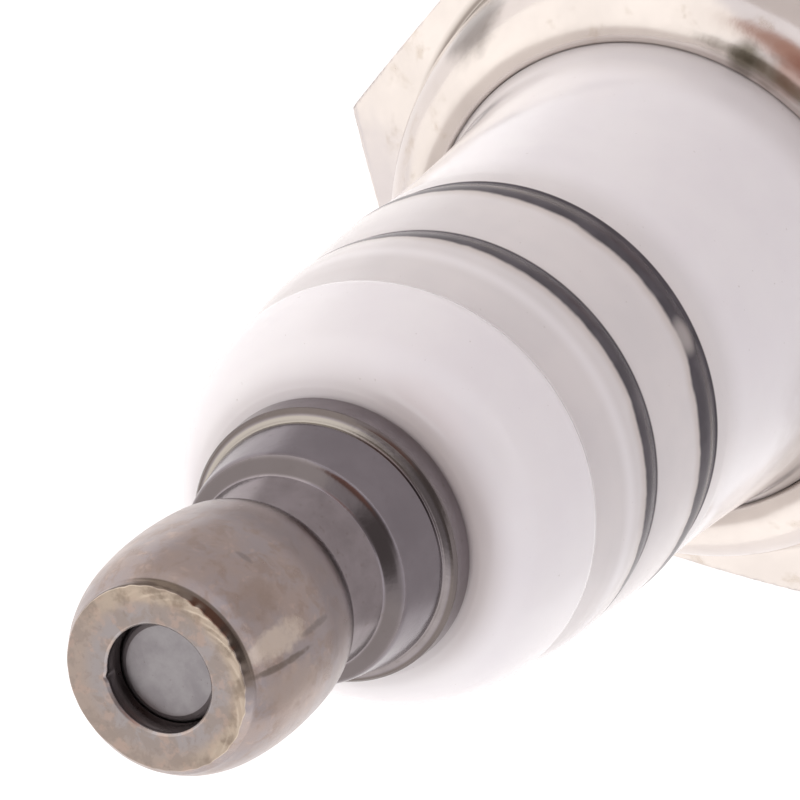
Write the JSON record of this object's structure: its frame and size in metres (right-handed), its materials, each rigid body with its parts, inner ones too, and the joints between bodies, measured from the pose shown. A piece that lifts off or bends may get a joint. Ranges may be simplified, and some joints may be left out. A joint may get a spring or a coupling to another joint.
{
  "type": "spark plug",
  "caption": "Threaded spark plug with a removable terminal nut, ribbed white ceramic insulator, hexagonal metal shell, captive gasket and J-shaped ground electrode.",
  "frame": {"origin": "centre of the gasket's lower face, the plane that lands on the cylinder head", "axes": "+Z along the plug's axis towards the terminal; +X through a corner of the hexagon and over the ground electrode; +Y square to a wrench flat"},
  "size_m": [0.024, 0.0208, 0.0746],
  "materials": {
    "terminal_steel": "nickel-flashed steel, tarnished brown and olive",
    "plain_steel": "dull rolled thread",
    "glazed_alumina": "clear gloss glaze with two dark painted rings",
    "seal_glass": "copper-filled conductive glass",
    "resistor_glass": "matt carbon-filled glass",
    "nickel_alloy": "drawn nickel alloy",
    "copper": "copper",
    "nickel_plate": "bright nickel plate",
    "talc": "pressed powder"
  },
  "bodies": {
    "plug": {"terminal_stud": "plain_steel", "insulator": "glazed_alumina", "upper_glass_seal": "seal_glass", "resistor": "resistor_glass", "lower_glass_seal": "seal_glass", "centre_electrode": "nickel_alloy", "copper_core": "copper", "shell": "nickel_plate", "upper_packing_ring": "plain_steel", "talc_ring": "talc", "lower_packing_ring": "plain_steel", "seat_washer": "copper", "ground_electrode": "nickel_alloy"},
    "terminal_nut": {"terminal_nut": "terminal_steel"},
    "gasket": {"gasket": "nickel_plate"}
  },
  "joints": [
    {"name": "terminal_nut_travel", "type": "slide", "parent": "plug", "child": "terminal_nut", "axis": [0, 0, 1], "range_m": [0, 0.0097]},
    {"name": "gasket_spin", "type": "hinge", "parent": "plug", "child": "gasket", "pos_m": [0, 0, 0.001], "axis": [0, 0, 1], "continuous": true}
  ]
}
